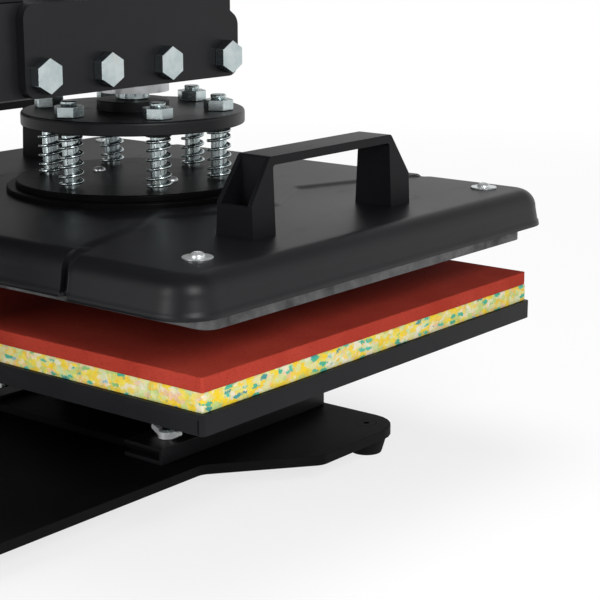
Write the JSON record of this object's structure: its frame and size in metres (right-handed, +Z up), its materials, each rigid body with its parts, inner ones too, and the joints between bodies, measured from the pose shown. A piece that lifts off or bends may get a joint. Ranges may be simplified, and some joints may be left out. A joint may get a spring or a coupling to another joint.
{
  "type": "tabletop printing press",
  "caption": "Swing-away heat press: padded lower platen on rails, sprung heated upper platen with grab handles, lever-worked crosshead, column and control box.",
  "frame": {"origin": "on the floor under the middle of the footprint", "axes": "+Z up, -Y to the front where the operator stands, +Y to the column, +X to the operator's right"},
  "size_m": [0.396, 0.467, 0.5471],
  "materials": {
    "coat": "satin black powder coat, fine orange peel",
    "black_screw": "black oxide",
    "rubber": "matt black rubber",
    "zinc": "bright zinc plate with a faint blue cast",
    "bright_steel": "machined steel, oiled",
    "bronze": "turned bearing bronze",
    "silicone": "matt brick red silicone sponge",
    "foam": "bonded foam of yellow, cream, white, teal and blue chips",
    "aluminium": "cast aluminium, dull and mottled",
    "cover_plastic": "satin black moulded plastic, fine grain",
    "panel_plastic": "matt black panel",
    "key_plastic": "grey key caps",
    "display_glass": "dark red display window",
    "grip_foam": "black foam grip",
    "element": "heat-stained steel sheath",
    "board": "ceramic fibre board"
  },
  "bodies": {
    "base": {"base_plate": "coat", "rubber_feet": "rubber", "foot_screws": "black_screw", "rail_left": "coat", "rail_right": "coat", "column": "coat", "column_bolts": "zinc", "stop_collar": "coat"},
    "lower_platen": {"platen_stand": "coat", "clamp_studs": "zinc", "lower_plate": "coat", "foam_pad": "foam", "silicone_pad": "silicone"},
    "wing_left": {"wing_nut_left": "zinc"},
    "wing_right": {"wing_nut_right": "zinc"},
    "arm": {"swing_sleeve": "coat", "arm_beam": "coat", "cheek_left": "coat", "cheek_right": "coat", "guide_housing": "coat", "guide_bush": "bronze", "cheek_bolts": "zinc", "pivot_bolts": "zinc", "pivot_washers": "bronze", "box_bracket": "coat", "control_box": "coat", "box_back": "coat", "fascia": "panel_plastic", "display_window": "display_glass", "mains_inlet": "cover_plastic", "box_gland": "cover_plastic"},
    "key_set": {"key_set": "key_plastic"},
    "key_up": {"key_up": "key_plastic"},
    "key_down": {"key_down": "key_plastic"},
    "rocker": {"rocker_switch": "panel_plastic"},
    "lever": {"fork_left": "coat", "fork_right": "coat", "lever_yoke": "coat", "yoke_screws": "zinc", "lever_bar": "zinc", "lever_grip": "grip_foam"},
    "crosshead": {"crosshead": "bright_steel"},
    "press_head": {"spring_flange": "coat", "spring_collars": "cover_plastic"},
    "spindle": {"spindle": "zinc", "pressure_knob": "cover_plastic"},
    "platen": {"spring_bolts": "zinc", "spring_nuts": "zinc", "platen_springs": "zinc", "lower_disc": "coat", "upper_disc": "coat", "platen_cover": "cover_plastic", "cover_screws": "zinc", "pan_screws": "zinc", "handle_left": "cover_plastic", "handle_right": "cover_plastic", "heater_plate": "aluminium", "heating_element": "element", "insulation_board": "board", "platen_gland": "cover_plastic"}
  },
  "joints": [
    {"name": "arm_swing", "type": "hinge", "parent": "base", "child": "arm", "pos_m": [0, 0.1735, 0.2282], "axis": [0, 0, 1], "range_deg": [-110, 110]},
    {"name": "lower_slide", "type": "slide", "parent": "base", "child": "lower_platen", "axis": [0, -1, 0], "range_m": [0, 0.06]},
    {"name": "wing_left_spin", "type": "hinge", "parent": "lower_platen", "child": "wing_left", "pos_m": [-0.077, -0.0095, 0.028], "axis": [0, 0, 1], "continuous": true},
    {"name": "wing_right_spin", "type": "hinge", "parent": "lower_platen", "child": "wing_right", "pos_m": [0.077, -0.0095, 0.028], "axis": [0, 0, 1], "continuous": true},
    {"name": "lever_hinge", "type": "hinge", "parent": "arm", "child": "lever", "pos_m": [0, -0.04945, 0.30895], "axis": [1, 0, 0], "range_deg": [0, 70]},
    {"name": "crosshead_slide", "type": "slide", "parent": "arm", "child": "crosshead", "axis": [0, 0, -1], "range_m": [0, 0.0215]},
    {"name": "pressure_adjust", "type": "slide", "parent": "crosshead", "child": "press_head", "axis": [0, 0, 1], "range_m": [-0.003, 0.003]},
    {"name": "knob_spin", "type": "hinge", "parent": "press_head", "child": "spindle", "pos_m": [0, -0.0665, 0.3047], "axis": [0, 0, 1], "range_deg": [-360, 360]},
    {"name": "platen_float", "type": "slide", "parent": "press_head", "child": "platen", "axis": [0, 0, 1], "range_m": [0, 0.006], "stiffness_N_per_m": 20000, "springref_m": -0.004, "deforming": ["platen_springs"]},
    {"name": "key_set_press", "type": "slide", "parent": "arm", "child": "key_set", "axis": [0, 0.8779, -0.4789], "range_m": [0, 0.0012], "stiffness_N_per_m": 800},
    {"name": "key_up_press", "type": "slide", "parent": "arm", "child": "key_up", "axis": [0, 0.8779, -0.4789], "range_m": [0, 0.0012], "stiffness_N_per_m": 800},
    {"name": "key_down_press", "type": "slide", "parent": "arm", "child": "key_down", "axis": [0, 0.8779, -0.4789], "range_m": [0, 0.0012], "stiffness_N_per_m": 800},
    {"name": "rocker_tilt", "type": "hinge", "parent": "arm", "child": "rocker", "pos_m": [-0.035, 0.215, 0.3268], "axis": [1, 0, 0], "range_deg": [0, 20]}
  ],
  "couplings": [
    {"joint": "lever_hinge", "follows": "crosshead_slide", "rad_per_m": 56.825},
    {"joint": "knob_spin", "follows": "pressure_adjust", "rad_per_m": 2094.4}
  ]
}
